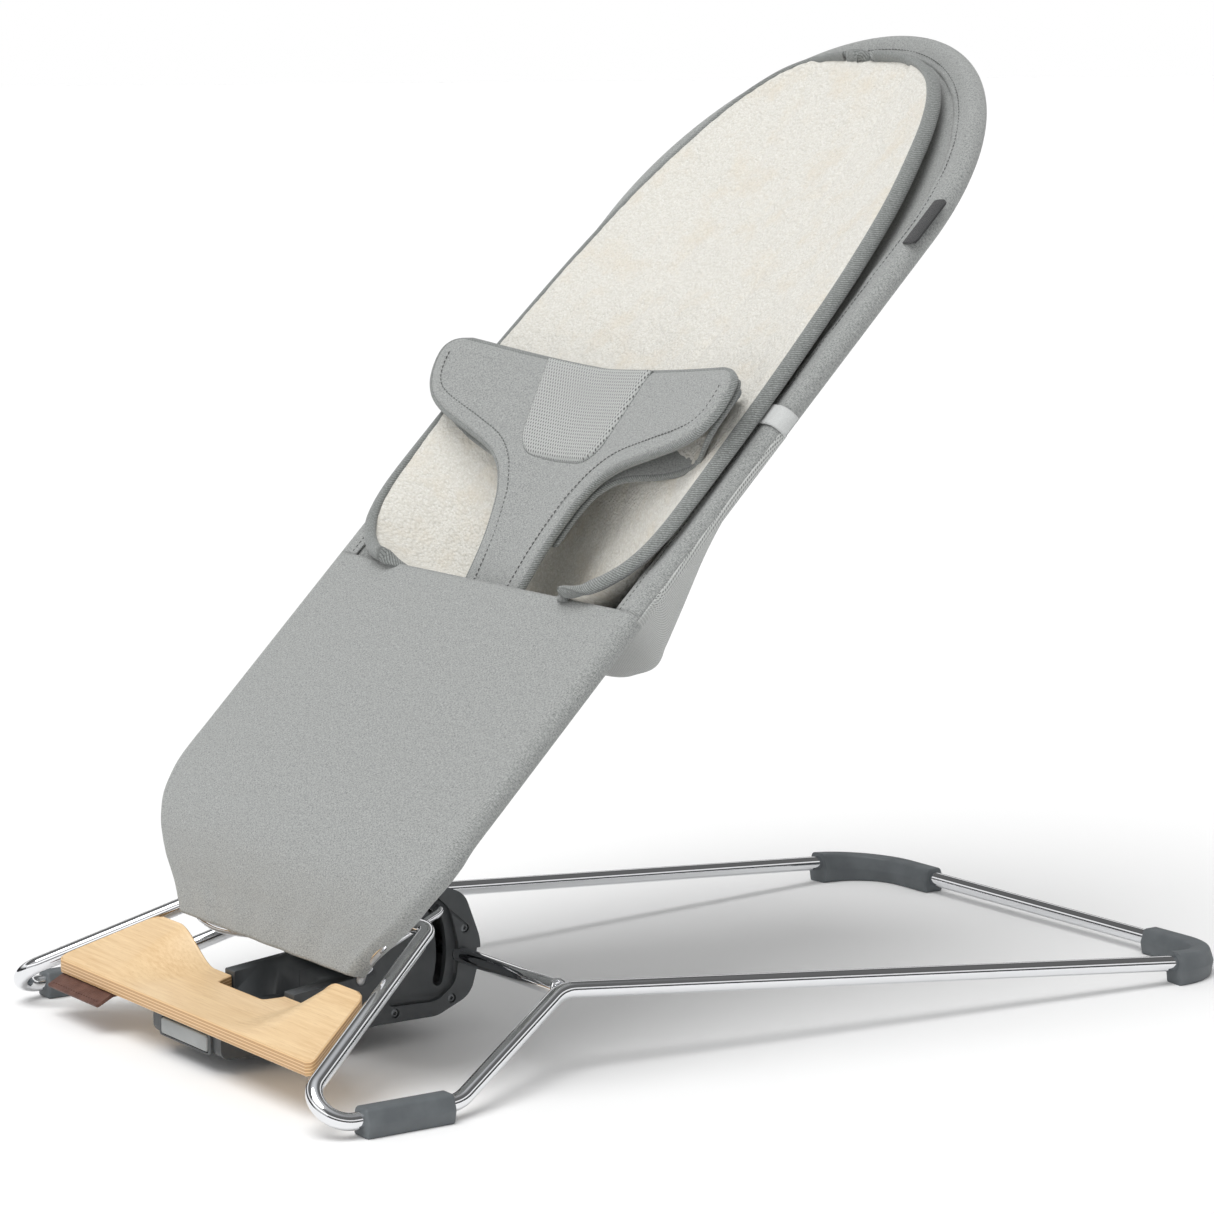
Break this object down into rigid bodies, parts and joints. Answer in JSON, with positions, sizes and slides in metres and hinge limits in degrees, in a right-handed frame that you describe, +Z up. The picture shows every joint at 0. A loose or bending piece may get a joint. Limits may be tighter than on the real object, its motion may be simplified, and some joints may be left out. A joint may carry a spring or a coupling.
{
  "type": "bouncer seat",
  "caption": "Baby bouncer seat: fabric seat on a tube frame that reclines over a springy bent-wire base with a plywood footplate.",
  "frame": {"origin": "on the floor, under the middle of the base", "axes": "+Y from the footplate to the head end, +Z up, +X to the right as seen from the footplate"},
  "size_m": [0.4194, 0.7176, 0.6198],
  "materials": {
    "base_wire": "bright nickel-chrome plated steel wire",
    "seat_tube": "plated steel tube",
    "foot_rubber": "matt blue-grey moulded rubber",
    "birch_plywood": "satin lacquered birch plywood, layered edges",
    "brown_leather": "smooth brown leather with plain stitching",
    "hub_plastic": "dark grey plastic with a fine spark texture",
    "light_plastic": "light grey moulded plastic",
    "screw_steel": "zinc plated steel",
    "washer_brass": "turned brass",
    "grey_fabric": "grey melange weave with twill bindings",
    "cream_terry": "soft cream terry pad",
    "black_weave": "plain black woven tape",
    "pale_ribbon": "pale woven ribbon"
  },
  "bodies": {
    "base": {"front_arm_right": "base_wire", "front_arm_left": "base_wire", "plate_wire_right": "base_wire", "plate_wire_left": "base_wire", "floor_wire_right": "base_wire", "floor_wire_left": "base_wire", "leg_wire_right": "base_wire", "leg_wire_left": "base_wire", "side_rail_right": "base_wire", "side_rail_left": "base_wire", "rear_corner_right": "base_wire", "rear_corner_left": "base_wire", "rear_bar": "base_wire", "cross_tube": "base_wire", "front_foot_right": "foot_rubber", "front_foot_left": "foot_rubber", "rear_foot_right": "foot_rubber", "rear_foot_left": "foot_rubber", "footplate": "birch_plywood", "plate_screw_right": "screw_steel", "plate_screw_left": "screw_steel", "leather_tag": "brown_leather", "hub_right": "hub_plastic", "hub_left": "hub_plastic", "hub_screw_right_1": "screw_steel", "hub_screw_right_2": "screw_steel", "hub_screw_right_3": "screw_steel", "hub_screw_left_1": "screw_steel", "hub_screw_left_2": "screw_steel", "hub_screw_left_3": "screw_steel", "button_bezel": "hub_plastic", "button_spring": "screw_steel", "pivot_housing": "hub_plastic", "pivot_bush_right": "washer_brass", "pivot_bush_left": "washer_brass"},
    "release": {"release_button": "light_plastic", "release_rod": "screw_steel", "latch_plate": "screw_steel"},
    "seat": {"pivot_bar": "base_wire", "spring_washer_1": "washer_brass", "spring_washer_2": "washer_brass", "bar_collar": "light_plastic", "recline_arm_right": "base_wire", "recline_arm_left": "base_wire", "lower_tube_right": "seat_tube", "lower_tube_left": "seat_tube", "seat_rail_right": "seat_tube", "seat_rail_left": "seat_tube", "head_bow": "seat_tube", "seat_back": "grey_fabric", "mesh_bucket": "grey_fabric", "lower_cover": "grey_fabric", "liner_pad": "cream_terry", "harness": "grey_fabric", "buckle_right": "light_plastic", "buckle_left": "light_plastic", "side_tag": "black_weave", "ribbon_loop": "pale_ribbon"}
  },
  "joints": [
    {"name": "seat_recline", "type": "hinge", "parent": "base", "child": "seat", "pos_m": [0, -0.24266, 0.057], "axis": [1, 0, 0], "range_deg": [-42, 0]},
    {"name": "button_press", "type": "slide", "parent": "base", "child": "release", "axis": [0, 1, 0], "range_m": [0, 0.004], "stiffness_N_per_m": 300, "springref_m": -0.003}
  ]
}
